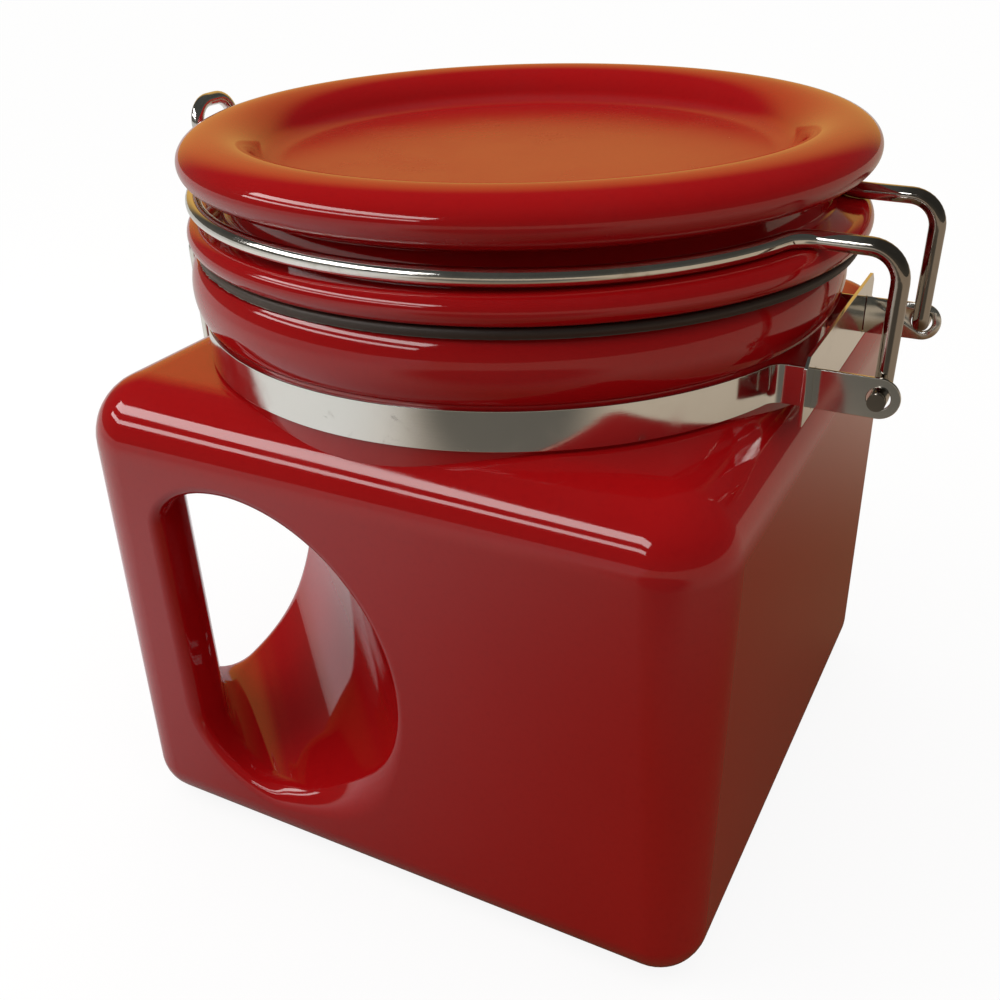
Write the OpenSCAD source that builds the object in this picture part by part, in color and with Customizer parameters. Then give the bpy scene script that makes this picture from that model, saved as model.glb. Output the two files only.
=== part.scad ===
// Glazed stoneware coffee canister with a bail-wire lid.
// Origin: centre of the foot. +X points to the hinge, -X to the clasp, +Z up.

/* [Body] */
// Width and depth of the square body
body_w = 120; // [116:1:130]
// Height of the square body, from the foot to the shoulder
body_h = 93.4; // [90:0.2:104]
// Radius of the body's upright edges
edge_r = 10.5; // [8:0.5:11]
// Radius of the edges round the shoulder
shoulder_r = 12; // [9:0.5:12]
// Radius of the edges round the foot
foot_r = 9; // [8:0.5:10]
// Thickness of the body's walls
wall = 6; // [5:0.5:7]
// Depth of the recess inside the foot ring
foot_recess = 1.2; // [0.8:0.1:1.6]

/* [Hand hole] */
// Distance of the hole's straight side from the corner, measured along a face
grip_post = 18; // [17:0.5:19]
// Distance of the hole's far end from the corner, measured along a face
grip_reach = 66; // [62:1:67]
// Height of the hole
grip_h = 64.8; // [58:0.4:66]
// Height of the hole's middle above the foot
grip_z = 45.7; // [44:0.1:47]
// Thickness of the wall between the hole and the inside
grip_wall = 4.5; // [4:0.1:5]

/* [Neck] */
// Distance of the neck's outer face inside the body's faces
neck_inset = 3.3; // [3:0.1:4]
// Height of the neck above the shoulder
neck_h = 18.2; // [17.6:0.2:20]
// Thickness of the neck's wall
neck_wall = 7.7; // [7:0.1:9]

/* [Lid] */
// How far the lid's rim and rib stand out past the body's faces
lid_overhang = 0.3; // [0:0.1:1]
// Depth of the dish in the lid's top
dish_depth = 6.5; // [4:0.5:7]
// Height of the lid above its seat
lid_h = 18.3; // [17.8:0.1:20]
// Thickness of the sealing gasket
gasket_t = 1.9; // [1.6:0.1:2.4]
// How far off centre the loose lid lies, towards the hinge
lid_slack_x = 1.6; // [0:0.1:1.6]
// How far off centre the loose lid lies, towards the rear
lid_slack_y = 1.2; // [0:0.1:1.2]

/* [Wire and band] */
// Diameter of the lid's ring wire
ring_wire_d = 2.8; // [2.4:0.1:2.8]
// Angle by which the released ring wire is lifted on the clasp side
ring_lift = 1; // [0.4:0.1:1]
// Height of the steel band
band_h = 6.6; // [6.4:0.1:6.8]
// Distance of the hinge axis outside the neck
hinge_out = 13.6; // [13:0.1:15]
// Distance of the clasp pivot outside the neck
clasp_out = 9.8; // [9.6:0.1:10.6]
// Length of the clasp lever from its pivot to its cross bar
lever_len = 33.1; // [31:0.1:35]
// Diameter of the clasp lever's wire
lever_wire_d = 2.5; // [2.2:0.1:2.5]
// Diameter of the clasp link's wire
link_wire_d = 2.2; // [2:0.1:2.2]

/* [Hidden] */
$fn = 96;

// Clearances
plug_play = 3;              // lid's plug in the mouth, radial
ring_hole_play = 0.08;      // ring wire tip in the hinge ears, radial
lever_hole_play = 0.08;     // lever tip in the clasp ears, radial
link_eye_play = 0.08;       // link tip in the lever's eyes, radial
band_gap = 0.1;             // band off the neck
seal_gap = 0.1;             // gasket off the neck's top, and off the plug
slot_play = 0.15;           // band ears in the keepers' slots, all round
ring_play = 0.05;           // ring wire above the rib, at the hinge side
nose_play = 0.2;            // clamped link bar above the ring wire's nose

// Colours
glaze = [0.62, 0.07, 0.08];
silicone = [0.32, 0.24, 0.17];
steel = [0.78, 0.78, 0.76];
chrome = [0.70, 0.70, 0.70];

// Hand hole, in a frame whose x runs from the corner straight into the body
diag = sqrt(2);
hole_in = grip_post / diag;
hole_mid = 2 * hole_in;
hole_a = grip_reach / diag - hole_mid;
hole_b = grip_h / 2;
hole_corner_r = 4;
// The hole's corners lie on an ellipse shrunk by their own radius
corner_t = acos((hole_in + hole_corner_r - hole_mid) / (hole_a - hole_corner_r));
corner_z = (hole_b - hole_corner_r) * sin(corner_t);
corner_normal = atan2(sin(corner_t) / (hole_b - hole_corner_r), cos(corner_t) / (hole_a - hole_corner_r));

// Body inside
cavity_r = 5;
floor_t = wall + 0.5;
foot_w = body_w - 32;
foot_corner_r = 6;

// Neck
neck_r = body_w / 2 - neck_inset;
mouth_r = neck_r - neck_wall;
neck_top = body_h + neck_h;
neck_root = body_h - 10;
mouth_chamfer = 1.5;
flange_a = 2.8;
flange_b = 5.7;
flange_z = neck_top - 5;
flange_r = neck_r - 0.7;

// Lid
lid_r = body_w / 2 + lid_overhang;
seat_z = neck_top + seal_gap + gasket_t;
gasket_r = neck_r + 2.3;
plug_r = mouth_r - plug_play;
plug_t = 4;
plug_depth = 4.5;
rib_a = 2.1;
rib_b = 2.3;
rib_top = seat_z + 2 * rib_b;
groove_r = lid_r - 7.3;
lid_top = seat_z + lid_h;
rim_a = 6.3;
rim_b = 4.3;
rim_z = lid_top - rim_b;
dish_z = lid_top - dish_depth;
dish_fillet = 3.2;
dish_thick = 6;

// Band
band_t = 0.6;
band_r = neck_r + band_gap + band_t / 2;
band_z = body_h + 0.6;
band_bend_r = 3;
pivot_z = band_z + band_h / 2;
hinge_x = neck_r + hinge_out;
hinge_ear_y = 18.3;
clasp_ear_y = 7.3;
keeper_t = 1;
keeper_x = body_w / 2 - 0.4;
keeper_bottom = body_h - 0.6;
keeper_h = 11;
hinge_keeper_w = 47;
clasp_keeper_w = 23;
keeper_corner = 1.5;

// Ring wire
ring_r = groove_r + 3.6;
ring_z = rib_top + ring_wire_d / 2 + ring_play - (hinge_x - ring_r) * sin(ring_lift);
ring_leg_y = 15.9;
ring_shoulder_r = 5;
ring_tip_bend_r = 1.8;
ring_tip_y = 20.3;
nose_half_w = 1.6;
nose_x = neck_r + 7.3;
nose_bend_r = 3;
ring_hole_r = ring_wire_d / 2 + ring_hole_play;

// Clasp lever, standing up and leaning outwards when released
clasp_x = -(neck_r + clasp_out);
lever_lean = 2.6;
lever_y = 5.2;
lever_corner_r = 4;
lever_tip_bend_r = 1.6;
lever_tip_y = 8.4;
lever_hole_r = lever_wire_d / 2 + lever_hole_play;
eye_x = -3.17;
eye_z = 6.8;
eye_w = 2.4;
eye_bore_r = link_wire_d / 2 + link_eye_play;
eye_r = eye_bore_r + 1.02;

// Clasp link: its length is what reaches over the nose when the lever is pressed down
nose_out = -nose_x - hinge_x;
nose_up = ring_z - pivot_z;
nose_at_x = hinge_x + nose_out * cos(ring_lift) + nose_up * sin(ring_lift);
nose_at_z = pivot_z - nose_out * sin(ring_lift) + nose_up * cos(ring_lift);
bar_x = nose_at_x + 0.8;
bar_z = nose_at_z + ring_wire_d / 2 + link_wire_d / 2 + nose_play;
link_len = norm([bar_x - (clasp_x - eye_x), bar_z - (pivot_z - eye_z)]);
link_y = 9.8;
link_corner_r = 4;
link_tip_bend_r = 1.5;
link_tip_y = 4.6;
// Where the released link hangs from the leaning lever
link_x = clasp_x + eye_x * cos(lever_lean) - eye_z * sin(lever_lean);
link_z = pivot_z + eye_x * sin(lever_lean) + eye_z * cos(lever_lean);

// How much thicker than its wire the ball between two lengths of wire is
joint_bead = 0.2;
// Directions of a wire bend, seen along the wire
left = 0;
right = 180;
up = 90;
down = -90;

// Points of an elliptical arc around [x, y], from angle t0 to t1
function arc(x, y, a, b, t0, t1, n) =
    [for (i = [0:n]) let (t = t0 + (t1 - t0) * i / n) [x + a * cos(t), y + b * sin(t)]];

// Outline of a rectangle with rounded corners, n steps to a corner
function rounded_rect(w, h, top_r, bottom_r, n) =
    [for (c = [[1, 1, 0], [-1, 1, 90], [-1, -1, 180], [1, -1, 270]])
        let (r = c[1] > 0 ? top_r : bottom_r)
        each arc(c[0] * (w / 2 - r), c[1] * (h / 2 - r), r, r, c[2], c[2] + 90, n)];

// A strip or wire leaves a circle of radius r and bends outwards with radius bend_r,
// to go on at distance y from the x axis: the angle from that axis where it leaves
function bend_start(r, bend_r, y) = asin((y + bend_r) / (r + bend_r));
// Distance along x at which that bend ends
function bend_end(r, bend_r, y) = (r + bend_r) * cos(bend_start(r, bend_r, y));

// A wire bent step by step from the origin, heading along +x with +z up.
// Each step is [straight length, bend radius, bend angle, bend direction]. A ball that is a
// little thicker than the wire joins any bend but a square one to the next step.
module bent_wire(wire_d, steps, i = 0) {
    if (i < len(steps)) {
        run = steps[i][0];
        bend_r = steps[i][1];
        angle = steps[i][2];
        side = steps[i][3];
        if (run > 0)
            rotate([0, 90, 0]) cylinder(h = run, d = wire_d);
        translate([run, 0, 0]) rotate([side, 0, 0]) {
            if (angle > 0)
                translate([0, bend_r, 0]) rotate([0, 0, -90])
                    rotate_extrude(angle = angle) translate([bend_r, 0]) circle(d = wire_d);
            translate([bend_r * sin(angle), bend_r * (1 - cos(angle)), 0]) {
                if (angle > 0 && angle != 90)
                    sphere(d = wire_d + joint_bead);
                rotate([0, 0, angle]) rotate([-side, 0, 0]) bent_wire(wire_d, steps, i + 1);
            }
        }
    }
}

// A shape and its mirror image across the xz plane
module both_sides() {
    children();
    mirror([0, 1, 0]) children();
}

// Upright square box between two heights, with all its edges rounded
module rounded_box(width, z0, z1, side_r, top_r, bottom_r, n) {
    height = z1 - z0;
    side = rounded_rect(width, height, top_r, bottom_r, n);
    translate([0, 0, (z0 + z1) / 2]) intersection() {
        linear_extrude(height = height, center = true) polygon(rounded_rect(width, width, side_r, side_r, n));
        rotate([90, 0, 0]) linear_extrude(height = width, center = true) polygon(side);
        rotate([90, 0, 90]) linear_extrude(height = width, center = true) polygon(side);
    }
}

// Frame of the hand hole: x runs from the corner inwards, z up, y along the hole
module at_grip_corner() {
    translate([-body_w / 2, -body_w / 2, 0]) rotate([0, 0, 45]) children();
}

// A prism along the hand hole with the given outline in x and z
module along_grip(outline) {
    at_grip_corner() rotate([90, 0, 0])
        linear_extrude(height = 2 * body_w, center = true) polygon(outline);
}

// The D-shaped hole that leaves the corner as a grip
module grip_hole() {
    along_grip(concat(
        arc(hole_mid, grip_z, hole_a, hole_b, -corner_t, corner_t, 28),
        arc(hole_in + hole_corner_r, grip_z + corner_z, hole_corner_r, hole_corner_r, corner_normal, 180, 5),
        arc(hole_in + hole_corner_r, grip_z - corner_z, hole_corner_r, hole_corner_r, -180, -corner_normal, 5)));
}

// The hollow inside the body stops short of the hole and of the grip
module cavity() {
    difference() {
        rounded_box(body_w - 2 * wall, floor_t, body_h - wall, cavity_r, cavity_r, cavity_r, 4);
        along_grip(arc(hole_mid, grip_z, hole_a + grip_wall, hole_b + grip_wall, 0, 345, 23));
        at_grip_corner() translate([0, -body_w, 0]) cube([hole_mid, 2 * body_w, body_h]);
    }
}

// Sunken square inside the foot ring
module foot_hollow() {
    translate([0, 0, -1])
        linear_extrude(height = 1 + foot_recess)
            polygon(rounded_rect(foot_w, foot_w, foot_corner_r, foot_corner_r, 4));
}

// Neck with the flange that the gasket seals on
module neck() {
    flange_t = acos((neck_r - flange_r) / flange_a);
    rotate_extrude()
        polygon(concat(
            [[mouth_r, neck_root], [neck_r, neck_root]],
            arc(flange_r, flange_z, flange_a, flange_b, -flange_t, asin((neck_top - flange_z) / flange_b), 12),
            [[mouth_r + mouth_chamfer, neck_top], [mouth_r, neck_top - mouth_chamfer]]));
}

module ceramic_body() {
    color(glaze) difference() {
        union() {
            rounded_box(body_w, 0, body_h, edge_r, shoulder_r, foot_r, 6);
            neck();
        }
        cavity();
        translate([0, 0, neck_root - 1]) cylinder(h = neck_top - neck_root, r = mouth_r);
        grip_hole();
        foot_hollow();
    }
}

// Where the loose lid and its gasket lie
module on_lid_axis() {
    translate([lid_slack_x, lid_slack_y, 0]) children();
}

module lid() {
    color(glaze) on_lid_axis() rotate_extrude()
        polygon(concat(
            [[0, dish_z - dish_thick], [plug_r - plug_t, dish_z - dish_thick]],
            [[plug_r - plug_t, seat_z - plug_depth], [plug_r, seat_z - plug_depth], [plug_r, seat_z]],
            arc(lid_r - rib_a, seat_z + rib_b, rib_a, rib_b, -90, 90, 12),
            [[groove_r, rib_top], [groove_r, rim_z - rim_b]],
            arc(lid_r - rim_a, rim_z, rim_a, rim_b, -90, 180, 27),
            arc(lid_r - 2 * rim_a - dish_fillet, rim_z, dish_fillet, rim_z - dish_z, -10, -90, 8),
            [[0, dish_z]]));
}

module lid_gasket() {
    color(silicone) on_lid_axis() translate([0, 0, neck_top + seal_gap]) difference() {
        cylinder(h = gasket_t, r = gasket_r);
        translate([0, 0, -1]) cylinder(h = gasket_t + 2, r = plug_r + seal_gap);
    }
}

// Half of the ring wire, from the nose round to the tip in the hinge ear
module ring_half() {
    nose_angle = bend_start(ring_r, nose_bend_r, nose_half_w);
    hinge_angle = bend_start(ring_r, ring_shoulder_r, ring_leg_y);
    nose_run = nose_x - nose_half_w - bend_end(ring_r, nose_bend_r, nose_half_w);
    hinge_run = hinge_x - ring_shoulder_r - bend_end(ring_r, ring_shoulder_r, ring_leg_y);
    translate([-nose_x, 0, ring_z]) rotate([0, 0, -90])
        bent_wire(ring_wire_d, [
            [0, nose_half_w, 90, left],
            [nose_run, nose_bend_r, 90 - nose_angle, right],
            [0, ring_r, 180 - nose_angle - hinge_angle, left],
            [0, ring_shoulder_r, 90 - hinge_angle, right],
            [hinge_run, ring_shoulder_r, 90, down],
            [ring_z - pivot_z - ring_shoulder_r - ring_tip_bend_r, ring_tip_bend_r, 90, right],
            [ring_tip_y - ring_leg_y - ring_tip_bend_r, 0, 0, left]]);
}

module lid_ring_wire() {
    color(chrome) translate([hinge_x, 0, pivot_z]) rotate([0, ring_lift, 0])
        translate([-hinge_x, 0, -pivot_z]) both_sides() ring_half();
}

// Plan of the front half's middle line, from the clasp ear round to the hinge ear,
// moved outwards by off
function band_line(off) =
    let (clasp = bend_start(band_r, band_bend_r, clasp_ear_y))
    let (hinge = bend_start(band_r, band_bend_r, hinge_ear_y))
    let (bend_r = band_bend_r - off)
    concat(
        [[clasp_x, -clasp_ear_y - off]],
        arc(-bend_end(band_r, band_bend_r, clasp_ear_y), -clasp_ear_y - band_bend_r, bend_r, bend_r, 90, clasp, 6),
        arc(0, 0, band_r + off, band_r + off, 180 + clasp, 360 - hinge, 54),
        arc(bend_end(band_r, band_bend_r, hinge_ear_y), -hinge_ear_y - band_bend_r, bend_r, bend_r,
            180 - hinge, 90, 6),
        [[hinge_x, -hinge_ear_y - off]]);

// A disc across the band's ear at the given place
module ear_disc(x, y, thick, r) {
    translate([x, y, pivot_z]) rotate([90, 0, 0]) cylinder(h = thick, r = r, center = true);
}

// Half of the band, on the -y side, with a pierced round ear at each end
module band_half() {
    inner = band_line(-band_t / 2);
    last = len(inner) - 1;
    difference() {
        union() {
            translate([0, 0, band_z]) linear_extrude(height = band_h)
                polygon(concat(band_line(band_t / 2), [for (i = [last:-1:0]) inner[i]]));
            ear_disc(hinge_x, -hinge_ear_y, band_t, band_h / 2);
            ear_disc(clasp_x, -clasp_ear_y, band_t, band_h / 2);
        }
        ear_disc(hinge_x, -hinge_ear_y, 2 * band_t, ring_hole_r);
        ear_disc(clasp_x, -clasp_ear_y, 2 * band_t, lever_hole_r);
    }
}

module band_front() {
    color(steel) band_half();
}

module band_rear() {
    color(steel) mirror([0, 1, 0]) band_half();
}

// Flat plate on the +x side with a slot for each ear
module keeper(width, ear_y) {
    half = width / 2;
    top = keeper_bottom + keeper_h;
    outline = [
        [-half, keeper_bottom], [half, keeper_bottom],
        [half, top - keeper_corner], [half - keeper_corner, top],
        [keeper_corner - half, top], [-half, top - keeper_corner]];
    difference() {
        translate([keeper_x, 0, 0]) rotate([90, 0, 90]) linear_extrude(height = keeper_t) polygon(outline);
        both_sides() translate([keeper_x - 1, ear_y - band_t / 2 - slot_play, band_z - slot_play])
            cube([keeper_t + 2, band_t + 2 * slot_play, band_h + 2 * slot_play]);
    }
}

module hinge_keeper() {
    color(steel) keeper(hinge_keeper_w, hinge_ear_y);
}

module clasp_keeper() {
    color(steel) mirror([1, 0, 0]) keeper(clasp_keeper_w, clasp_ear_y);
}

// Wire lever with an eye on each arm that carries the link
module clasp_lever() {
    color(chrome) translate([clasp_x, 0, pivot_z]) rotate([0, -lever_lean, 0]) both_sides() difference() {
        union() {
            translate([0, 0, lever_len]) rotate([0, 0, -90])
                bent_wire(lever_wire_d, [
                    [lever_y - lever_corner_r, lever_corner_r, 90, down],
                    [lever_len - lever_corner_r - lever_tip_bend_r, lever_tip_bend_r, 90, up],
                    [lever_tip_y - lever_y - lever_tip_bend_r, 0, 0, left]]);
            translate([eye_x, -lever_y, eye_z]) rotate([90, 0, 0])
                translate([0, 0, -0.7]) cylinder(h = eye_w, r = eye_r);
        }
        translate([eye_x, -lever_y, eye_z]) rotate([90, 0, 0]) cylinder(h = 3 * eye_w, r = eye_bore_r, center = true);
    }
}

// Wire loop that hangs from the lever and hooks over the ring wire's nose
module clasp_link() {
    color(chrome) translate([link_x, 0, link_z]) both_sides()
        translate([0, 0, -link_len]) rotate([0, 0, -90])
            bent_wire(link_wire_d, [
                [link_y - link_corner_r, link_corner_r, 90, up],
                [link_len - link_corner_r - link_tip_bend_r, link_tip_bend_r, 90, up],
                [link_y - link_tip_bend_r - link_tip_y, 0, 0, left]]);
}

ceramic_body();
lid();
lid_gasket();
lid_ring_wire();
band_front();
band_rear();
hinge_keeper();
clasp_keeper();
clasp_lever();
clasp_link();
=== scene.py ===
import math

import bpy
from mathutils import Matrix, Vector, noise


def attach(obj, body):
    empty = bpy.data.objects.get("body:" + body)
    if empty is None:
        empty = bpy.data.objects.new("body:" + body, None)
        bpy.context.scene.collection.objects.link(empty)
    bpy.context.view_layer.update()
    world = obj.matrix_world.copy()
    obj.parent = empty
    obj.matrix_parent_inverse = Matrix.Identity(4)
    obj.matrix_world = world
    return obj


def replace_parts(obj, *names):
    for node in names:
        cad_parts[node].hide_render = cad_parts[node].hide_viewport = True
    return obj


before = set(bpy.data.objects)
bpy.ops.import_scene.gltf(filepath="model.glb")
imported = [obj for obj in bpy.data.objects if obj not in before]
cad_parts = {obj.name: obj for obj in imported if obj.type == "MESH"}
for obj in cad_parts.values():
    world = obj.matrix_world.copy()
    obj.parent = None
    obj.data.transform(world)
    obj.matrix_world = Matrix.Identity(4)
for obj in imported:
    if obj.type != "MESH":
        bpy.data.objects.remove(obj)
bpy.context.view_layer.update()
MM = 0.001

# Camera. It looks down on the canister from close by, a little to the right of the
# corner between the front and the hinge side.
bpy.ops.object.camera_add(location=(0.09418, -0.1824089, 0.1675832))
camera = bpy.context.object
camera_right = Vector((0.8872036, 0.46055862, -0.02748691))
camera_up = Vector((-0.2096059, 0.45541695, 0.86525185))
camera_back = camera_right.cross(camera_up)
camera.rotation_euler = Matrix((camera_right, camera_up, camera_back)).transposed().to_euler()
camera.data.sensor_width = 36
camera.data.lens = 40.424
camera.data.shift_x = -0.00645
camera.data.shift_y = 0.0235
camera.data.clip_start = 0.01
bpy.context.scene.camera = camera
bpy.context.scene.view_settings.view_transform = "Standard"


# Floor. A plain pale sheet that the canister stands on. The camera sees it almost white,
# with a soft shadow. Polished surfaces mirror a painted floor: painted light on the window's side
# near the canister, a painted brown shadow on the hinge side and painted shade in front of the
# camera.
class Value:
    """One output of a shader node. Sums and products of values add Math nodes."""

    def __init__(self, tree, socket=None):
        self.tree = tree
        self.socket = socket

    def node(self, kind, sockets=None, out=0, **settings):
        """Adds a node: its settings first, then the values or links of its sockets."""
        node = self.tree.nodes.new("ShaderNode" + kind)
        for name, setting in settings.items():
            setattr(node, name, setting)
        for name, value in (sockets or {}).items():
            if isinstance(value, Value):
                self.tree.links.new(value.socket, node.inputs[name])
            else:
                node.inputs[name].default_value = value
        return Value(self.tree, node.outputs[out])

    def math(self, operation, *values):
        return self.node("Math", dict(enumerate(values)), operation=operation)

    def mix(self, factor, a, b):
        """Colour a where the factor is 0, and colour b where it is 1."""
        a, b = [(*c, 1) if isinstance(c, tuple) and len(c) == 3 else c for c in (a, b)]
        return self.node("Mix", {0: factor, 6: a, 7: b}, out=2, data_type="RGBA")

    def step(self, value, low, high):
        """0 below low, 1 above high and smooth between."""
        return self.node("MapRange", {"Value": value, "From Min": low, "From Max": high},
                         interpolation_type="SMOOTHSTEP")

    def __add__(self, other):
        return self.math("ADD", self, other)

    def __sub__(self, other):
        return self.math("SUBTRACT", self, other)

    def __rsub__(self, other):
        return self.math("SUBTRACT", other, self)

    def __mul__(self, other):
        return self.math("MULTIPLY", self, other)

    __radd__ = __add__
    __rmul__ = __mul__


def new_material(name):
    """A material with nothing in it yet but its output, and a Value that adds its nodes."""
    material = bpy.data.materials.new(name)
    material.use_nodes = True
    for node in list(material.node_tree.nodes):
        if node.type != "OUTPUT_MATERIAL":
            material.node_tree.nodes.remove(node)
    return material, Value(material.node_tree)


def finish_material(material, shader):
    output = material.node_tree.nodes["Material Output"]
    material.node_tree.links.new(shader.socket, output.inputs["Surface"])


floor_paint, nodes = new_material("pale_floor")
seen = nodes.node("LightPath")
bounced = nodes.node("LightPath", out=2)
mirrored = nodes.node("LightPath", out=3)
place = nodes.node("TexCoord", out=3)
east = nodes.step(nodes.node("SeparateXYZ", {0: place}), -0.15, 0.06)
away = nodes.step(nodes.node("VectorMath", {0: place}, out=1, operation="LENGTH"), 0.11, 0.28)
# Painted light and shadow, seen only in reflections: near the canister the floor is pale on the
# window's side and a dark brown painted shadow on the hinge side.
painted_floor_light_and_shade = nodes.mix(away, nodes.mix(east, (0.90, 0.86, 0.90), (0.22, 0.14, 0.075)),
                 nodes.mix(east, (0.74, 0.75, 0.73), (0.62, 0.53, 0.42)))
near_camera = nodes.node("VectorMath", {0: place, 1: (0.13, -0.33, 0)}, out=1,
                         operation="DISTANCE")
# Painted shade, seen only in reflections: the floor in front of the camera is dark.
painted_floor_light_and_shade = nodes.mix(nodes.step(near_camera, 0.12, 0.22), (0.15, 0.14, 0.12), painted_floor_light_and_shade)
tone = nodes.mix(mirrored, nodes.mix(bounced, (0.84, 0.84, 0.84), (0.32, 0.30, 0.29)), painted_floor_light_and_shade)
matt = nodes.node("BsdfDiffuse", {"Color": tone})
white = nodes.node("Emission", {"Color": (1, 1, 1, 1), "Strength": 1.05})
finish_material(floor_paint, nodes.node("MixShader", {0: seen * 0.85, 1: matt, 2: white}))
bpy.ops.object.select_all(action="DESELECT")
bpy.ops.mesh.primitive_plane_add(size=8)
floor = bpy.context.object
floor.name = "floor"
floor.data.materials.append(floor_paint)

# Light. A window on the left of the camera lights the canister, with even daylight from
# above. Glaze and metal mirror its two wide panes, a warm wall behind the canister and a
# dim room.
canister_middle = Vector((0, 0, 0.08))


def soft_box(name, azimuth, elevation, distance, size, radiance, colour, mirrored):
    """A rectangular lamp that faces the canister from the given direction."""
    a, e = math.radians(azimuth), math.radians(elevation)
    away = Vector((math.cos(e) * math.cos(a), math.cos(e) * math.sin(a), math.sin(e)))
    bpy.ops.object.light_add(type="AREA", location=canister_middle + distance * away)
    lamp = bpy.context.object
    lamp.name = name
    lamp.rotation_euler = away.to_track_quat("Z", "Y").to_euler()
    lamp.data.shape = "RECTANGLE"
    lamp.data.size, lamp.data.size_y = size
    lamp.data.energy = radiance * size[0] * size[1] * math.pi
    lamp.data.color = colour
    lamp.visible_glossy = mirrored
    lamp.visible_diffuse = not mirrored


soft_box("high_pane", -128, 35, 0.8, (0.95, 0.12), 6.5, (1.0, 0.99, 0.98), True)
soft_box("low_pane", -128, 22, 0.8, (0.95, 0.06), 6, (1.0, 0.97, 0.96), True)
soft_box("window_light", -148, 32, 0.48, (0.35, 0.25), 2.3, (1.0, 0.97, 0.95), False)

world = bpy.data.worlds.new("surround")
bpy.context.scene.world = world
world.use_nodes = True
nodes = Value(world.node_tree)
direction = nodes.node("TexCoord")
height = nodes.node("SeparateXYZ", {0: direction}, out=2)
wall = nodes.node("VectorMath", {0: direction, 1: (-0.45, 0.87, 0.20)}, out=1,
                  operation="DOT_PRODUCT")
room = nodes.mix(nodes.step(height, -0.1, 0.5), (0.10, 0.095, 0.08), (0.05, 0.05, 0.045))
room = nodes.mix(nodes.step(wall, 0.70, 0.93), room, (0.70, 0.41, 0.11))
daylight = nodes.mix(nodes.step(height, 0.0, 1.0), (0.08, 0.08, 0.08), (1.08, 1.05, 1.03))
seen_colour = nodes.mix(nodes.node("LightPath", out=3), daylight, room)
seen_colour = nodes.mix(nodes.node("LightPath"), seen_colour, (1, 1, 1))
background = world.node_tree.nodes["Background"]
world.node_tree.links.new(seen_colour.socket, background.inputs["Color"])


# Body. One slip-cast stoneware casting: a square box with a D-shaped hand hole through
# its front left corner and a round neck with a sealing flange. It is glazed deep red
# inside and out, except for the bare clay ring that it stands on.
BODY_W = 120 * MM
BODY_H = 93.4 * MM
NECK_R = 56.7 * MM
MOUTH_R = 49 * MM
NECK_TOP = 111.6 * MM
SIDE_ROUND = 10.5 * MM
FOOT_ROUND = 9 * MM
SHOULDER_ROUND = 12 * MM


def arc(x, z, a, b, start, end, steps):
    """Points of an elliptical arc around (x, z), with its angles in degrees."""
    return [(x + a * math.cos(math.radians(start + (end - start) * i / steps)),
             z + b * math.sin(math.radians(start + (end - start) * i / steps)))
            for i in range(steps + 1)]


def edit(obj):
    """Leaves only obj selected and opens its whole mesh for editing."""
    if bpy.context.object and bpy.context.object.mode == "EDIT":
        bpy.ops.object.mode_set(mode="OBJECT")
    bpy.ops.object.select_all(action="DESELECT")
    obj.select_set(True)
    bpy.context.view_layer.objects.active = obj
    bpy.ops.object.mode_set(mode="EDIT")
    bpy.ops.mesh.select_mode(type="VERT")
    bpy.ops.mesh.select_all(action="SELECT")


def done():
    bpy.ops.object.mode_set(mode="OBJECT")


def pick(obj, kind, test):
    """Opens obj for editing with only the VERT or FACE elements selected that pass a test."""
    edit(obj)
    bpy.ops.mesh.select_mode(type=kind)
    bpy.ops.mesh.select_all(action="DESELECT")
    done()
    for element in obj.data.vertices if kind == "VERT" else obj.data.polygons:
        element.select = test(element)
    bpy.ops.object.mode_set(mode="EDIT")


def drawn(name, points, closed=False, wire_d=0):
    """A line through points, as a mesh. With wire_d it is a round wire along that line."""
    curve = bpy.data.curves.new(name, "CURVE")
    curve.dimensions = "3D"
    spline = curve.splines.new("POLY")
    spline.points.add(len(points) - 1)
    for place, point in zip(spline.points, points):
        place.co = (*point, 1)
    spline.use_cyclic_u = closed
    curve.bevel_depth = wire_d / 2
    curve.bevel_resolution = 10
    curve.use_fill_caps = wire_d > 0
    obj = bpy.data.objects.new(name, curve)
    bpy.context.scene.collection.objects.link(obj)
    bpy.ops.object.select_all(action="DESELECT")
    obj.select_set(True)
    bpy.context.view_layer.objects.active = obj
    bpy.ops.object.convert(target="MESH")
    obj = bpy.context.object
    edit(obj)
    bpy.ops.mesh.remove_doubles(threshold=1e-7)
    done()
    return obj


def turned(name, profile, axis=(0, 0), steps=216):
    """A profile of (radius, height) points, spun round the upright axis into a solid."""
    obj = drawn(name, [(axis[0] + r, axis[1], z) for r, z in profile], closed=profile[0][0] > 0)
    edit(obj)
    bpy.ops.mesh.spin(steps=steps, angle=math.tau, center=(*axis, 0), axis=(0, 0, 1))
    bpy.ops.mesh.select_all(action="SELECT")
    bpy.ops.mesh.remove_doubles(threshold=1e-6)
    bpy.ops.mesh.normals_make_consistent(inside=False)
    done()
    return obj


def prism(name, outline, along):
    """A closed outline of 3-D points, filled and drawn out along a vector."""
    obj = drawn(name, outline, closed=True)
    edit(obj)
    bpy.ops.mesh.edge_face_add()
    bpy.ops.mesh.extrude_region_move(TRANSFORM_OT_translate={"value": along})
    bpy.ops.mesh.select_all(action="SELECT")
    bpy.ops.mesh.normals_make_consistent(inside=False)
    done()
    return obj


def block(name, low, high, radius, segments):
    """A box between two corners with all its edges rounded."""
    low, high = Vector(low), Vector(high)
    bpy.ops.object.select_all(action="DESELECT")
    bpy.ops.mesh.primitive_cube_add(size=1, location=(low + high) / 2, scale=high - low)
    obj = bpy.context.object
    obj.name = name
    bpy.ops.object.transform_apply(location=True, rotation=True, scale=True)
    edit(obj)
    bpy.ops.mesh.bevel(offset=radius, segments=segments, affect="EDGES")
    done()
    return obj


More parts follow.
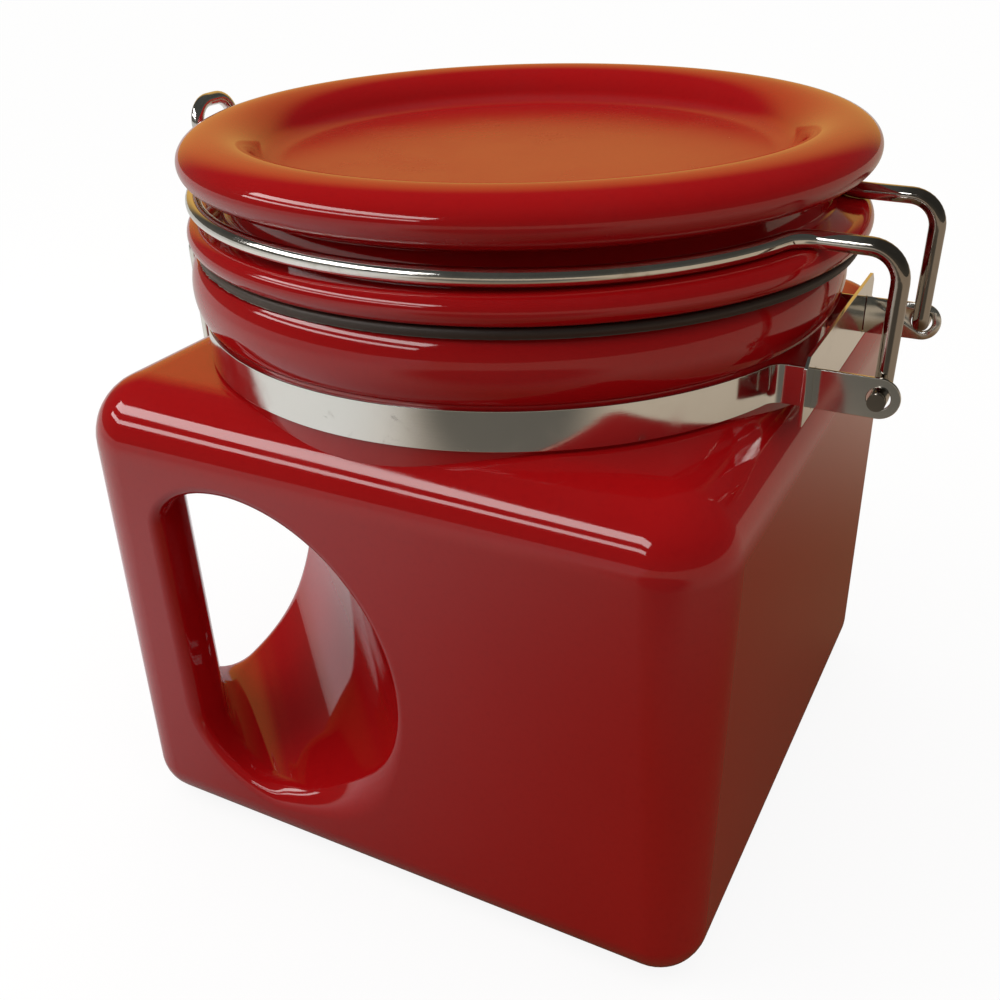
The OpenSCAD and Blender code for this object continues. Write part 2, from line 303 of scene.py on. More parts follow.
def applied(obj, kind, **settings):
    """Adds a modifier with these settings and applies it."""
    bpy.ops.object.select_all(action="DESELECT")
    obj.select_set(True)
    bpy.context.view_layer.objects.active = obj
    modifier = obj.modifiers.new(kind.lower(), kind)
    for name, setting in settings.items():
        setattr(modifier, name, setting)
    bpy.ops.object.modifier_apply(modifier=modifier.name)


def combined(obj, tool, operation):
    """Cuts the tool out of obj, or joins it on, and throws the tool away."""
    applied(obj, "BOOLEAN", operation=operation, object=tool, solver="EXACT")
    bpy.data.objects.remove(tool)


def smoothed(obj, angle=35):
    """Smooth shading up to an angle, with the flat faces kept flat."""
    bpy.ops.object.select_all(action="DESELECT")
    obj.select_set(True)
    bpy.context.view_layer.objects.active = obj
    bpy.ops.object.shade_smooth_by_angle(angle=math.radians(angle))
    applied(obj, "WEIGHTED_NORMAL", mode="FACE_AREA", weight=50, keep_sharp=True)


body = block("glazed_body", (-BODY_W / 2, -BODY_W / 2, 0), (BODY_W / 2, BODY_W / 2, BODY_H),
             SIDE_ROUND, 12)
# The rounding is widest round the shoulder and tightest round the foot
for corner_x in (-BODY_W / 2, BODY_W / 2):
    for corner_y in (-BODY_W / 2, BODY_W / 2):
        for corner_z, rounding_here in ((0, FOOT_ROUND), (BODY_H, SHOULDER_ROUND)):
            scale = rounding_here / SIDE_ROUND
            corner = Vector((corner_x, corner_y, corner_z))
            pick(body, "VERT", lambda vertex: max(abs(c) for c in vertex.co - corner) < 11 * MM)
            bpy.ops.transform.resize(value=(scale, scale, scale), center_override=corner)
            done()

# The hand hole runs diagonally through the corner. Its outline is a D, square to the
# hole, with x from the corner inwards. Beside the post it goes straight in at first.
DIAGONAL = math.sqrt(2)
HOLE_IN = 26 * MM / DIAGONAL
HOLE_MID = 36 * MM / DIAGONAL
HOLE_A = 66 * MM / DIAGONAL - HOLE_MID
HOLE_B = 32.4 * MM
HOLE_LOW_B = 31.8 * MM
HOLE_Z = 45.7 * MM
HIGH_CORNER = 4.5 * MM
LOW_CORNER = 7 * MM


def corner_of_hole(radius, half_height):
    """Where a corner arc touches the curved side: the angle there along the curve, the
    direction of the curve's normal, and how far the arc's centre lies off the middle."""
    low, high = 0.0, math.pi
    for _ in range(50):
        t = (low + high) / 2
        normal = math.atan2(math.sin(t) / half_height, math.cos(t) / HOLE_A)
        if HOLE_MID + HOLE_A * math.cos(t) - radius * (math.cos(normal) + 1) > HOLE_IN:
            low = t
        else:
            high = t
    off_middle = half_height * math.sin(t) - radius * math.sin(normal)
    return math.degrees(t), math.degrees(normal), off_middle


high_turn, high_normal, up = corner_of_hole(HIGH_CORNER, HOLE_B)
low_turn, low_normal, down = corner_of_hole(LOW_CORNER, HOLE_LOW_B)
hole_outline = (
    arc(HOLE_MID, HOLE_Z, HOLE_A, HOLE_B, 0, high_turn, 36)
    + arc(HOLE_IN + HIGH_CORNER, HOLE_Z + up, HIGH_CORNER, HIGH_CORNER, high_normal, 180, 9)[1:]
    + [(HOLE_IN, HOLE_Z + up - (up + down) * i / 12) for i in range(1, 12)]
    + arc(HOLE_IN + LOW_CORNER, HOLE_Z - down, LOW_CORNER, LOW_CORNER, 180, 360 - low_normal, 12)
    + arc(HOLE_MID, HOLE_Z, HOLE_A, HOLE_LOW_B, -low_turn, 0, 36)[1:])


def rounding(start, corner, end, turned, steps):
    """Points of an arc that leaves start towards corner and arrives at end from it."""
    pull = math.cos(turned / 2)
    points = []
    for i in range(steps):
        t = i / (steps - 1)
        a, b, c = (1 - t) ** 2, 2 * t * (1 - t) * pull, t * t
        points.append((a * start + b * corner + c * end) / (a + b + c))
    return points


LIP_STEPS = 14
LIP_R = 2.4 * MM
FOOT_EDGE = 9.3 * MM
SHOULDER_EDGE = 81.2 * MM
STRAIGHT = 8 * MM
along_hole = Vector((-1, 1, 0)) / DIAGONAL
inwards = Vector((0, 1, 0))


def lips(ring, low_left):
    """For each point of the ring, the curve from the outer face into the hole. Places are
    (distance from the corner, depth behind the face, height). The lip is widest at the
    lower right, and low_left widens it at the lower left too."""
    curves = []
    for i, (x, z) in enumerate(ring):
        before, after = ring[i - 1 if i else -2], ring[i + 1 if i + 1 < len(ring) else 1]
        tangent = Vector((after[0] - before[0], after[1] - before[1])).normalized()
        out_x, out_z = tangent.y, -tangent.x
        edge = Vector((tangent.x * DIAGONAL, 0, tangent.y)).normalized()
        on_face = Vector((out_x / DIAGONAL, 0, out_z)).normalized()
        on_wall = (along_hole - along_hole.dot(edge) * edge).normalized()
        turned = math.acos(out_x / DIAGONAL)
        place = math.degrees(math.atan2((z - HOLE_Z) / HOLE_B, (x - HOLE_MID) / HOLE_A))
        radius = (LIP_R + 6 * MM * math.exp(-((place + 50) / 25) ** 2)
                  + low_left * math.exp(-((place + 105) / 30) ** 2))
        reach = radius * math.tan(turned / 2)
        room = (z - FOOT_EDGE if out_z < 0 else SHOULDER_EDGE - z) / max(abs(on_face.z), 0.01)
        sharp = Vector((x * DIAGONAL, 0, z))
        simple = rounding(sharp + min(reach, room) * on_face, sharp, sharp + reach * on_wall,
                          turned, LIP_STEPS)
        # Beside the post
        leftward = max(-out_x, 0)
        drop = (5 if z > HOLE_Z else 8) * MM * (1 - math.sqrt(1 - min(leftward, 1) ** 2))
        drop *= min(max((z - HOLE_Z) / (24 * MM), -1), 1)
        first = sharp - Vector((STRAIGHT * leftward, 0, drop))
        second = sharp + STRAIGHT * leftward * Vector((-1, 1, 0))
        ahead = (second - first) / STRAIGHT
        straight_in = (
            rounding(first + LIP_R * on_face, first, first + LIP_R * ahead,
                     math.radians(90), LIP_STEPS // 2)
            + rounding(second - 3 * MM * ahead, second, second + 3 * MM * leftward * along_hole,
                       math.radians(45), LIP_STEPS // 2))
        post = leftward ** 2 * (3 - 2 * leftward)
        curve = [one.lerp(other, post) for one, other in zip(simple, straight_in)]
        curves.append([curve[0] - 2 * MM * inwards] + curve)
    return curves


front_lips = lips(hole_outline, 2.2 * MM)
side_lips = lips(hole_outline, 0.8 * MM)
lines = [[Vector((u - BODY_W / 2, v - BODY_W / 2, z)) for u, v, z in front]
         + [Vector((v - BODY_W / 2, u - BODY_W / 2, z)) for u, v, z in reversed(side)]
         for front, side in zip(front_lips, side_lips)]
bpy.ops.object.select_all(action="DESELECT")
bpy.ops.mesh.primitive_grid_add(x_subdivisions=len(lines) - 1,
                                y_subdivisions=len(lines[0]) - 1)
hand_hole = bpy.context.object
for i, vertex in enumerate(hand_hole.data.vertices):
    vertex.co = lines[i % len(lines)][i // len(lines)]
edit(hand_hole)
bpy.ops.mesh.remove_doubles(threshold=1e-6)
bpy.ops.mesh.fill_holes(sides=0)
bpy.ops.mesh.select_all(action="SELECT")
bpy.ops.mesh.normals_make_consistent(inside=False)
done()
combined(body, hand_hole, "DIFFERENCE")

neck_profile = (
    [(0, 80 * MM), (NECK_R, 80 * MM)]
    + arc(56.0 * MM, 106.6 * MM, 2.8 * MM, 5.7 * MM, -75.5, 61.3, 28)
    + [(0, NECK_TOP)])
combined(body, turned("neck", neck_profile), "UNION")

# The hollow inside goes round the hand hole and opens into the mouth
hollow = block("hollow", (-54 * MM, -54 * MM, 6.5 * MM), (54 * MM, 54 * MM, 87.4 * MM), 6 * MM, 5)
HOLE_WALL = 4.5 * MM
grip_outline = (
    [(-5 * MM, -5 * MM), (HOLE_MID, -5 * MM)]
    + arc(HOLE_MID, HOLE_Z, HOLE_A + HOLE_WALL, HOLE_B + HOLE_WALL, -90, 90, 36)
    + [(HOLE_MID, 105 * MM), (-5 * MM, 105 * MM)])
clear_through = 2 * BODY_W
combined(hollow, prism("grip", [(-BODY_W / 2 + (x + clear_through) / DIAGONAL,
                                 -BODY_W / 2 + (x - clear_through) / DIAGONAL, z)
                                for x, z in grip_outline],
                       along_hole * 2 * clear_through), "DIFFERENCE")
mouth_profile = (
    [(0, 75 * MM), (MOUTH_R, 75 * MM)]
    + arc(MOUTH_R + 1.6 * MM, NECK_TOP - 1.5 * MM, 1.6 * MM, 1.6 * MM, 180, 108, 8)
    + [(MOUTH_R + 6 * MM, NECK_TOP + 3 * MM), (0, NECK_TOP + 3 * MM)])
combined(hollow, turned("mouth", mouth_profile), "UNION")
combined(body, hollow, "DIFFERENCE")
combined(body, block("foot_recess", (-44 * MM, -44 * MM, -6 * MM), (44 * MM, 44 * MM, 1.2 * MM),
                     3 * MM, 4), "DIFFERENCE")
smoothed(body)

# Glaze: glassy, deep red and slightly uneven, with a few pinholes and specks
glaze, nodes = new_material("red_glaze")
place = nodes.node("TexCoord", out=3)
cloud = nodes.node("TexNoise", {"Vector": place, "Scale": 22, "Detail": 4, "Roughness": 0.55})
grain = nodes.node("TexNoise", {"Vector": place, "Scale": 900, "Detail": 3})
wave = nodes.node("TexNoise", {"Vector": place, "Scale": 30, "Detail": 1})
smear = nodes.node("TexNoise", {"Vector": place, "Scale": 75, "Detail": 5, "Roughness": 0.65})
dot_size = nodes.node("TexVoronoi", {"Vector": place, "Scale": 85}, feature="F1")
dot_pick = nodes.node("TexWhiteNoise", {"Vector": nodes.node(
    "TexVoronoi", {"Vector": place, "Scale": 85}, out=2, feature="F1")})
dots = (1 - nodes.step(dot_size, 0.012, 0.028)) * nodes.math("GREATER_THAN", dot_pick, 0.86)
red = nodes.mix(cloud, (0.40, 0.0040, 0.0060), (0.47, 0.0065, 0.0075))
red = nodes.mix(nodes.step(grain, 0.45, 0.8) * 0.25, red, (0.33, 0.003, 0.006))
red = nodes.mix(dots * 0.55, red, (0.62, 0.30, 0.24))
level = nodes.node("SeparateXYZ", {0: place}, out=2)
in_dish = nodes.step(level, 0.1250, 0.1253) * (1 - nodes.step(level, 0.1262, 0.1275))
height = wave * 0.00022 + cloud * 0.00012 + grain * 0.0000016
finish_material(glaze, nodes.node("BsdfPrincipled", {
    "Base Color": red,
    "Roughness": nodes.step(smear, 0.35, 0.8) * 0.06 + dots * 0.3 + in_dish * 0.19 + 0.045,
    "IOR": 1.52,
    "Normal": nodes.node("Bump", {"Height": height, "Strength": 0.35, "Distance": 1.0})}))

# Clay: the buff stoneware that the glaze leaves bare
clay, nodes = new_material("bare_clay")
place = nodes.node("TexCoord", out=3)
grit = nodes.node("TexNoise", {"Vector": place, "Scale": 1400, "Detail": 4, "Roughness": 0.7})
patch = nodes.node("TexNoise", {"Vector": place, "Scale": 60, "Detail": 3})
buff = nodes.mix(patch, (0.56, 0.46, 0.36), (0.66, 0.56, 0.45))
finish_material(clay, nodes.node("BsdfPrincipled", {
    "Base Color": nodes.mix(nodes.step(grit, 0.55, 0.75) * 0.5, buff, (0.40, 0.31, 0.23)),
    "Roughness": grit * 0.2 + 0.75,
    "Normal": nodes.node("Bump", {"Height": grit, "Strength": 0.25, "Distance": 0.0002})}))

body.data.materials.clear()
body.data.materials.append(glaze)
body.data.materials.append(clay)
for face in body.data.polygons:
    face.material_index = int(face.center.z < 0.05 * MM and face.normal.z < -0.9)
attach(body, "canister")
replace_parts(body, "ceramic_body")

# Lid. A thick glazed disc, turned in profile: a fat rounded rim round a shallow dish,
# a groove for the ring wire, a rib under it, and a plug that reaches into the mouth.
# It lies loose, a little off the middle.
LID_AXIS = (1.6 * MM, 1.2 * MM)
LID_R = 60.3 * MM
LID_TOP = 131.9 * MM
DISH_Z = 125.4 * MM
RIM_Z = 127.6 * MM
RIM_A = 6.3 * MM
RIM_R = LID_R - RIM_A
CREST_R = 8 * MM
DISH_CORNER = 5 * MM
DISH_R = RIM_R - (CREST_R + DISH_CORNER) * math.sin(math.radians(60))
lid_profile = (
    [(0, 119.4 * MM), (39.5 * MM, 119.4 * MM)]
    + arc(39.5 * MM, 116.9 * MM, 2.5 * MM, 2.5 * MM, 90, 0, 6)
    + arc(43.5 * MM, 110.6 * MM, 1.5 * MM, 1.5 * MM, 180, 270, 6)
    + arc(44.5 * MM, 110.6 * MM, 1.5 * MM, 1.5 * MM, 270, 360, 6)
    + arc(46.8 * MM, 112.8 * MM, 0.8 * MM, 0.8 * MM, 180, 90, 4)
    + arc(58.2 * MM, 115.9 * MM, 2.1 * MM, 2.3 * MM, -90, 90, 20)
    + arc(54.2 * MM, 119.4 * MM, 1.2 * MM, 1.2 * MM, 270, 180, 6)
    + arc(54.2 * MM, 122.1 * MM, 1.2 * MM, 1.2 * MM, 180, 90, 6)
    + arc(RIM_R, RIM_Z, RIM_A, LID_TOP - RIM_Z, -86, 90, 40)
    + arc(RIM_R, LID_TOP - CREST_R, CREST_R, CREST_R, 90, 150, 16)[1:]
    + arc(DISH_R, DISH_Z + DISH_CORNER, DISH_CORNER, DISH_CORNER, -30, -90, 14)[1:]
    + [(r * MM, DISH_Z) for r in (42.6, 42, 40, 30, 15, 0)])
lid = turned("glazed_lid", lid_profile, LID_AXIS, 240)
smoothed(lid, 40)
lid.data.materials.clear()
lid.data.materials.append(glaze)
lid.data.materials.append(clay)
for face in lid.data.polygons:
    face.material_index = int(face.center.z < 109.8 * MM)
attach(lid, "lid_assembly")
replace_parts(lid, "lid")

# Gasket. A flat ring of brown silicone, moulded in two halves: a thin pale ragged
# flash is left along its lower outer edge.
GASKET_LOW = 111.7 * MM
GASKET_HIGH = 113.58 * MM
GASKET_R = 59 * MM
gasket_profile = (
    [(46.2 * MM, GASKET_LOW), (57.6 * MM, GASKET_LOW)]
    + [(58.3 * MM, GASKET_LOW + 0.02 * MM), (GASKET_R - 0.25 * MM, GASKET_LOW + 0.14 * MM)]
    + arc(GASKET_R - 0.55 * MM, GASKET_LOW + 0.95 * MM, 0.55 * MM, 0.72 * MM, -50, 90, 8)
    + [(57.6 * MM, GASKET_HIGH), (46.2 * MM, GASKET_HIGH)])
gasket = turned("gasket", gasket_profile, LID_AXIS, 720)
for vertex in gasket.data.vertices:
    out = Vector((vertex.co.x - LID_AXIS[0], vertex.co.y - LID_AXIS[1]))
    if out.length < 57 * MM:
        continue
    along = math.atan2(out.y, out.x)
    ring = Vector((math.cos(along), math.sin(along), 0))
    ragged = (noise.noise(ring * 70) + 0.6 * noise.noise(ring * 190)
              + 0.4 * noise.noise(ring * 420))
    slow = noise.noise(ring * 3)
    if vertex.co.z < GASKET_LOW + 0.3 * MM:
        grow = max(0.0, 0.12 + 0.3 * ragged + 0.25 * slow) * (0.6 - 0.4 * ring.x) * MM
        vertex.co.x += ring.x * grow
        vertex.co.y += ring.y * grow
    vertex.co.z += 0.03 * MM * slow * (vertex.co.z > GASKET_LOW + 0.3 * MM)
smoothed(gasket, 60)
silicone, nodes = new_material("gasket_silicone")
place = nodes.node("TexCoord", out=3)
dust = nodes.node("TexNoise", {"Vector": place, "Scale": 260, "Detail": 5, "Roughness": 0.7})
patch = nodes.node("TexNoise", {"Vector": place, "Scale": 24, "Detail": 3})
low_edge = 1 - nodes.step(nodes.node("SeparateXYZ", {0: place}, out=2), 0.11182, 0.11200)
low_edge = low_edge * nodes.step(nodes.node("VectorMath", {
    0: place, 1: (*LID_AXIS, GASKET_LOW)}, out=1, operation="DISTANCE"), 0.0578, 0.0585)
# The gasket is lighter towards the clasp side (x below 0), and its dust and flash show more there.
toward_clasp = 1 - nodes.step(nodes.node("SeparateXYZ", {0: place}), -0.05, 0.025)
brown = nodes.mix(patch, (0.022, 0.010, 0.006), (0.040, 0.022, 0.013))
brown = nodes.mix(toward_clasp, brown, (0.085, 0.062, 0.042))
brown = nodes.mix(nodes.step(dust, 0.52, 0.72) * toward_clasp * 0.35, brown, (0.30, 0.26, 0.21))
flash = low_edge * nodes.step(dust, 0.38, 0.6) * (toward_clasp + 0.1) * 0.9
finish_material(silicone, nodes.node("BsdfPrincipled", {
    "Base Color": nodes.mix(flash, brown, (0.52, 0.42, 0.34)),
    "Roughness": dust * 0.3 + 0.38,
    "Normal": nodes.node("Bump", {"Height": dust, "Strength": 0.3, "Distance": 0.0003})}))
gasket.data.materials.clear()
gasket.data.materials.append(silicone)
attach(gasket, "lid_assembly")
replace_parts(gasket, "lid_gasket")

# Ring wire. One length of chromed steel wire, bent round the lid's groove. It has a
# narrow nose on the clasp side, and two legs that bend down and out into the hinge ears.
# The wire's colour is darker towards the hinge.
PIVOT_Z = 97.3 * MM
HINGE_X = 70.3 * MM
RING_D = 2.8 * MM
RING_R = 56.6 * MM
RING_Z = 119.41 * MM
RING_LIFT = 1


def bent_wire(start, heading, upright, steps, bend_steps=10):
    """Points along a wire that goes straight and bends by turns. A step is its straight
    length, then the radius, angle and axis of its bend: left, right, up or down."""
    place, ahead, top = Vector(start), Vector(heading), Vector(upright)
    points = [place.copy()]
    for run, radius, angle, side in steps:
        if run > 0:
            place = place + ahead * run
            points.append(place.copy())
        left = top.cross(ahead)
        inside = {"left": left, "right": -left, "up": top, "down": -top}[side]
        turn_axis = ahead.cross(inside)
        count = max(1, round(bend_steps * angle / 90)) if radius < 20 * MM else round(angle)
        centre = place + inside * radius
        for i in range(1, count + 1 if angle else 1):
            spin = Matrix.Rotation(math.radians(angle) * i / count, 3, turn_axis)
            points.append(centre + spin @ (place - centre))
        if angle:
            spin = Matrix.Rotation(math.radians(angle), 3, turn_axis)
            place, ahead, top = points[-1].copy(), spin @ ahead, spin @ top
    return points


def leave_angle(r, bend_r, y):
    """Where a wire or strip leaves a circle and bends out to run on at distance y."""
    return math.degrees(math.asin((y + bend_r) / (r + bend_r)))


def leave_end(r, bend_r, y):
    return (r + bend_r) * math.cos(math.radians(leave_angle(r, bend_r, y)))


def both_halves(half):
    """The whole line of a wire from the half on the -y side."""
    other = [Vector((p.x, -p.y, p.z)) for p in half]
    return other[:0:-1] + half


def round_ends(obj, size):
    """Softens the cut ends of a wire."""
    pick(obj, "FACE", lambda face: len(face.vertices) > 4)
    bpy.ops.mesh.bevel(offset=size, segments=3, affect="EDGES")
    done()


nose_half, nose_x, nose_r = 1.6 * MM, 64 * MM, 3 * MM
leg_y, shoulder, tip_r, tip_y = 15.9 * MM, 5 * MM, 1.8 * MM, 20.3 * MM
nose_turn = leave_angle(RING_R, nose_r, nose_half)
leg_turn = leave_angle(RING_R, shoulder, leg_y)
ring_half = bent_wire((-nose_x, 0, RING_Z), (0, -1, 0), (0, 0, 1), [
    (0, nose_half, 90, "left"),
    (nose_x - nose_half - leave_end(RING_R, nose_r, nose_half), nose_r, 90 - nose_turn, "right"),
    (0, RING_R, 180 - nose_turn - leg_turn, "left"),
    (0, shoulder, 90 - leg_turn, "right"),
    (HINGE_X - shoulder - leave_end(RING_R, shoulder, leg_y), shoulder, 90, "down"),
    (RING_Z - PIVOT_Z - shoulder - tip_r, tip_r, 90, "right"),
    (tip_y - leg_y - tip_r, 0, 0, "left")])
ring_wire = drawn("ring_wire", both_halves(ring_half), wire_d=RING_D)
round_ends(ring_wire, 0.35 * MM)
edit(ring_wire)
bpy.ops.transform.rotate(value=math.radians(-RING_LIFT), orient_axis="Y",
                         center_override=(HINGE_X, 0, PIVOT_Z))
done()
smoothed(ring_wire, 40)
chrome, nodes = new_material("chromed_wire")
place = nodes.node("TexCoord", out=3)
tarnish = nodes.node("TexNoise", {"Vector": place, "Scale": 130, "Detail": 5, "Roughness": 0.65})
pits = nodes.node("TexNoise", {"Vector": place, "Scale": 1500, "Detail": 2})
haze = nodes.node("TexNoise", {"Vector": place, "Scale": 40, "Detail": 3})
plate = nodes.mix(nodes.step(haze, 0.4, 0.7), (0.80, 0.79, 0.76), (0.70, 0.66, 0.58))
plate = nodes.mix(nodes.step(tarnish, 0.56, 0.74) * 0.6, plate, (0.42, 0.34, 0.24))
# The wire's colour darkens towards the hinge, for x above 62 mm.
darker_to_hinge = nodes.step(nodes.node("SeparateXYZ", {0: place}), 0.062, 0.068)
plate = nodes.mix(darker_to_hinge * 0.85, plate, (0.26, 0.22, 0.18))
finish_material(chrome, nodes.node("BsdfPrincipled", {
    "Base Color": plate,
    "Metallic": 1.0,
    "Roughness": nodes.step(tarnish, 0.4, 0.8) * 0.18 + 0.06,
    "Normal": nodes.node("Bump", {"Height": pits, "Strength": 0.12, "Distance": 0.00005})}))
ring_wire.data.materials.clear()
ring_wire.data.materials.append(chrome)
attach(ring_wire, "lid_assembly")
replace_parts(ring_wire, "lid_ring_wire")

# Band. Two pressed strips of polished stainless steel go round the neck and out through
# the keepers. Each strip ends in a pierced ear for the ring wire or for the clasp lever.
BAND_LOW = 94 * MM
BAND_HIGH = 100.6 * MM
BAND_T = 0.6 * MM
BAND_R = 57.1 * MM
EAR_ROOT = 59.9 * MM
CLASP_X = -66.5 * MM
HINGE_EAR_Y = 18.3 * MM
CLASP_EAR_Y = 7.3 * MM
bend = 3 * MM


def band_plan():
    """The front strip's middle line in plan, from one keeper round to the other."""
    clasp, hinge = (leave_angle(BAND_R, bend, y) for y in (CLASP_EAR_Y, HINGE_EAR_Y))
    clasp_end, hinge_end = (leave_end(BAND_R, bend, y) for y in (CLASP_EAR_Y, HINGE_EAR_Y))
    return (
        [(-60.3 * MM, -CLASP_EAR_Y)]
        + arc(-clasp_end, -CLASP_EAR_Y - bend, bend, bend, 90, clasp, 8)
        + arc(0, 0, BAND_R, BAND_R, 180 + clasp, 360 - hinge, 108)[1:-1]
        + arc(hinge_end, -HINGE_EAR_Y - bend, bend, bend, 180 - hinge, 90, 8)
        + [(60.3 * MM, -HINGE_EAR_Y)])


def ear(name, x, y, hole):
    """The flat end of the strip, with its round tip and its hole."""
    side = math.copysign(1, x)
    half = (BAND_HIGH - BAND_LOW) / 2
    outline = ([(side * EAR_ROOT, BAND_HIGH)]
               + arc(x, PIVOT_Z, side * (half - 0.02 * MM), half, 90, -90, 24)
               + [(side * EAR_ROOT, BAND_LOW)])
    plate = prism(name, [(px, y - BAND_T / 2, pz) for px, pz in outline], (0, BAND_T, 0))
    bpy.ops.object.select_all(action="DESELECT")
    bpy.ops.mesh.primitive_cylinder_add(vertices=48, radius=hole, depth=4 * BAND_T,
                                        location=(x, y, PIVOT_Z), rotation=(math.pi / 2, 0, 0))
    bpy.ops.object.transform_apply(location=True, rotation=True, scale=True)
    combined(plate, bpy.context.object, "DIFFERENCE")
    return plate


band = drawn("band_front_strip", [(x, y, BAND_LOW) for x, y in band_plan()])
edit(band)
bpy.ops.mesh.extrude_region_move(TRANSFORM_OT_translate={"value": (0, 0, BAND_HIGH - BAND_LOW)})
done()
applied(band, "SOLIDIFY", thickness=BAND_T, offset=0, use_even_offset=True)
hinge_ear = ear("hinge_ear", HINGE_X, -HINGE_EAR_Y, 1.8 * MM)
clasp_ear = ear("clasp_ear", CLASP_X, -CLASP_EAR_Y, 1.6 * MM)
bpy.ops.object.select_all(action="DESELECT")
for piece in (hinge_ear, clasp_ear, band):
    piece.select_set(True)
bpy.context.view_layer.objects.active = band
bpy.ops.object.join()
applied(band, "BEVEL", limit_method="ANGLE", angle_limit=math.radians(50), width=0.14 * MM,
        segments=2)
smoothed(band, 40)

steel, nodes = new_material("steel_band")
place = nodes.node("TexCoord", out=3)
smudge = nodes.node("TexNoise", {"Vector": place, "Scale": 95, "Detail": 5, "Roughness": 0.6})
stain = nodes.node("TexNoise", {"Vector": place, "Scale": 210, "Detail": 6, "Roughness": 0.7,
                                "Distortion": 0.6})
rolled = nodes.node("TexNoise", {"Vector": nodes.node(
    "Mapping", {"Vector": place, "Scale": (60, 60, 5200)}), "Scale": 1, "Detail": 3})
sheet = nodes.mix(smudge, (0.72, 0.72, 0.69), (0.80, 0.80, 0.78))
sheet = nodes.mix(nodes.step(stain, 0.60, 0.74) * 0.55, sheet, (0.40, 0.40, 0.37))
finish_material(steel, nodes.node("BsdfPrincipled", {
    "Base Color": sheet,
    "Metallic": 1.0,
    "Roughness": nodes.step(smudge, 0.45, 0.75) * 0.16 + nodes.step(stain, 0.6, 0.75) * 0.2 + 0.10,
    "Normal": nodes.node("Bump", {"Height": rolled, "Strength": 0.10, "Distance": 0.00002})}))
band.data.materials.clear()
band.data.materials.append(steel)


def copied(obj, name, scale):
    """A mirrored copy with its own mesh, its place in the mesh and its faces outwards."""
    bpy.ops.object.select_all(action="DESELECT")
    obj.select_set(True)
    bpy.context.view_layer.objects.active = obj
    bpy.ops.object.duplicate(linked=False)
    twin = bpy.context.object
    twin.name = name
    edit(twin)
    bpy.ops.transform.resize(value=scale, center_override=(0, 0, 0))
    bpy.ops.mesh.flip_normals()
    done()
    return twin


band_rear = copied(band, "band_rear_strip", (1, -1, 1))
for strip, node in ((band, "band_front"), (band_rear, "band_rear")):
    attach(strip, "canister")
    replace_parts(strip, node)

# Keepers. Flat steel plates on the hinge side and the clasp side, with two slots each.
# The band's ears pass through the slots, and so the plates draw the strips together.
KEEPER_X = 59.8 * MM
KEEPER_T = 0.6 * MM
KEEPER_LOW = 92.8 * MM
KEEPER_HIGH = 103.8 * MM
SLOT_GAP = 0.15 * MM


def keeper(name, width, ear_y, side):
    """A plate with cut upper corners, soft edges and a slot for each ear."""
    half, cut = width / 2, 1.5 * MM
    outline = [(-half, KEEPER_LOW), (half, KEEPER_LOW), (half, KEEPER_HIGH - cut),
               (half - cut, KEEPER_HIGH), (cut - half, KEEPER_HIGH), (-half, KEEPER_HIGH - cut)]
    plate = prism(name, [(side * KEEPER_X, y, z) for y, z in outline], (side * KEEPER_T, 0, 0))
    middle, slot = side * (KEEPER_X + KEEPER_T / 2), BAND_T / 2 + SLOT_GAP
    for y in (-ear_y, ear_y):
        combined(plate, block(name + "_slot",
                              (middle - 3 * MM, y - slot, BAND_LOW - SLOT_GAP),
                              (middle + 3 * MM, y + slot, BAND_HIGH + SLOT_GAP),
                              0.1 * MM, 1), "DIFFERENCE")
    applied(plate, "BEVEL", limit_method="ANGLE", angle_limit=math.radians(40), width=0.16 * MM,
            segments=2)
    smoothed(plate, 30)
    plate.data.materials.clear()
    plate.data.materials.append(steel)
    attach(plate, "canister")
    return plate


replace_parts(keeper("hinge_side_keeper", 47 * MM, HINGE_EAR_Y, 1), "hinge_keeper")
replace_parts(keeper("clasp_side_keeper", 23 * MM, CLASP_EAR_Y, -1), "clasp_keeper")

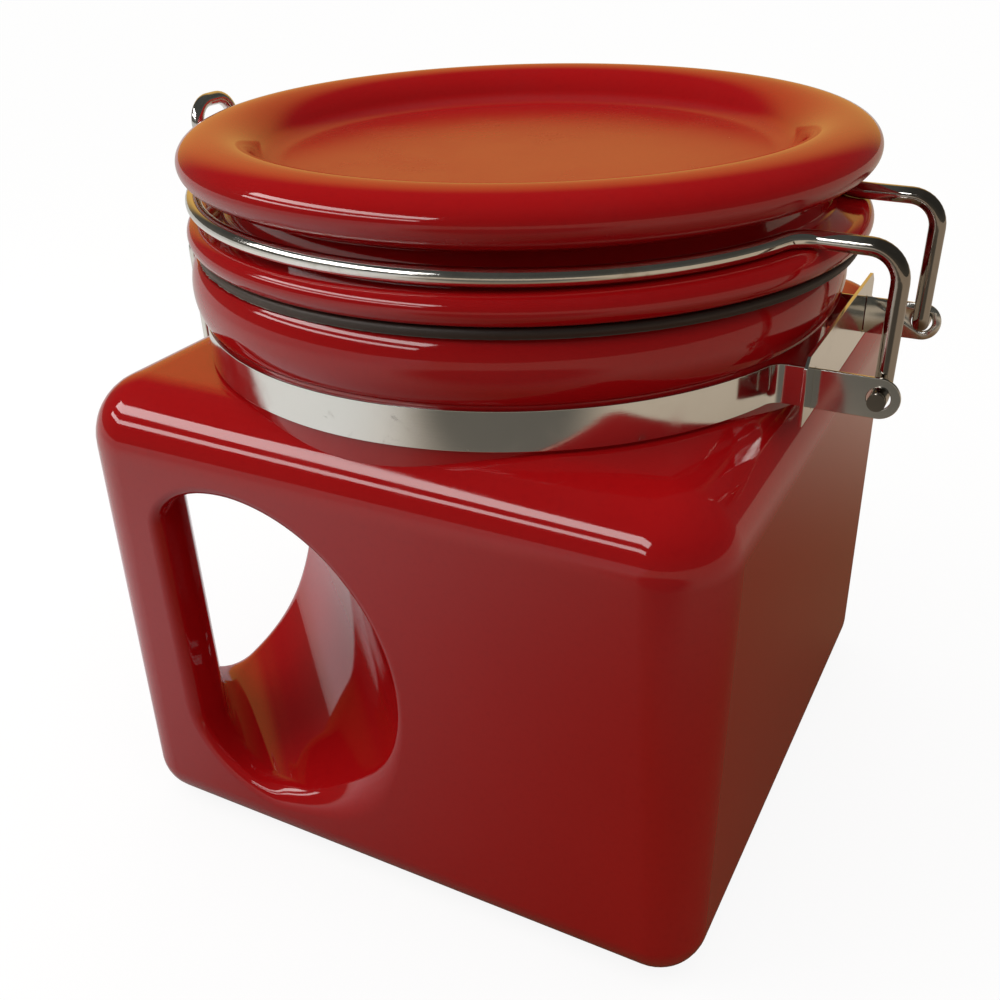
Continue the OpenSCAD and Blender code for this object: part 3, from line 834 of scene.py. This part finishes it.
# Lever. A wire loop whose turned-out feet pivot in the clasp ears. A flat eye is fixed
# to each arm to carry the link. It stands up and leans out a little when released.
LEVER_D = 2.5 * MM
LEVER_LEN = 33.1 * MM
LEVER_LEAN = 2.6
lever_y, lever_corner, lever_tip_r, lever_tip_y = 5.2 * MM, 4 * MM, 1.6 * MM, 8.4 * MM
lever_half = bent_wire((CLASP_X, 0, PIVOT_Z + LEVER_LEN), (0, -1, 0), (0, 0, 1), [
    (lever_y - lever_corner, lever_corner, 90, "down"),
    (LEVER_LEN - lever_corner - lever_tip_r, lever_tip_r, 90, "up"),
    (lever_tip_y - lever_y - lever_tip_r, 0, 0, "left")])
lever = drawn("clasp_lever_wire", both_halves(lever_half), wire_d=LEVER_D)
round_ends(lever, 0.3 * MM)
EYE_X = -3.17 * MM
EYE_Z = 6.8 * MM
for side in (-1, 1):
    bpy.ops.object.select_all(action="DESELECT")
    bpy.ops.mesh.primitive_torus_add(
        major_segments=48, minor_segments=16, major_radius=1.64 * MM, minor_radius=0.54 * MM,
        location=(CLASP_X + EYE_X, side * (lever_y + 0.5 * MM), PIVOT_Z + EYE_Z),
        rotation=(math.pi / 2, 0, 0))
    eye = bpy.context.object
    bpy.ops.object.transform_apply(location=True, rotation=True, scale=True)
    edit(eye)
    bpy.ops.transform.resize(value=(1, 2.2, 1),
                             center_override=(0, side * (lever_y + 0.5 * MM), 0))
    done()
    combined(lever, eye, "UNION")
edit(lever)
bpy.ops.transform.rotate(value=math.radians(LEVER_LEAN), orient_axis="Y",
                         center_override=(CLASP_X, 0, PIVOT_Z))
done()
smoothed(lever, 40)
lever.data.materials.clear()
lever.data.materials.append(chrome)
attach(lever, "lever")
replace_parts(lever, "clasp_lever")

# Link. A longer wire loop that hangs from the lever's eyes and hooks over the nose of
# the ring wire when the lid is shut.
LINK_D = 2.2 * MM
LINK_LEN = 33.86 * MM
link_x, link_z = -69.975 * MM, 103.948 * MM
link_y, link_corner, link_tip_r, link_tip_y = 9.8 * MM, 4 * MM, 1.5 * MM, 4.6 * MM
link_half = bent_wire((link_x, 0, link_z - LINK_LEN), (0, -1, 0), (0, 0, 1), [
    (link_y - link_corner, link_corner, 90, "up"),
    (LINK_LEN - link_corner - link_tip_r, link_tip_r, 90, "up"),
    (link_y - link_tip_r - link_tip_y, 0, 0, "left")])
link = drawn("clasp_link_wire", both_halves(link_half), wire_d=LINK_D)
round_ends(link, 0.3 * MM)
smoothed(link, 40)
link.data.materials.clear()
link.data.materials.append(chrome)
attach(link, "link")
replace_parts(link, "clasp_link")
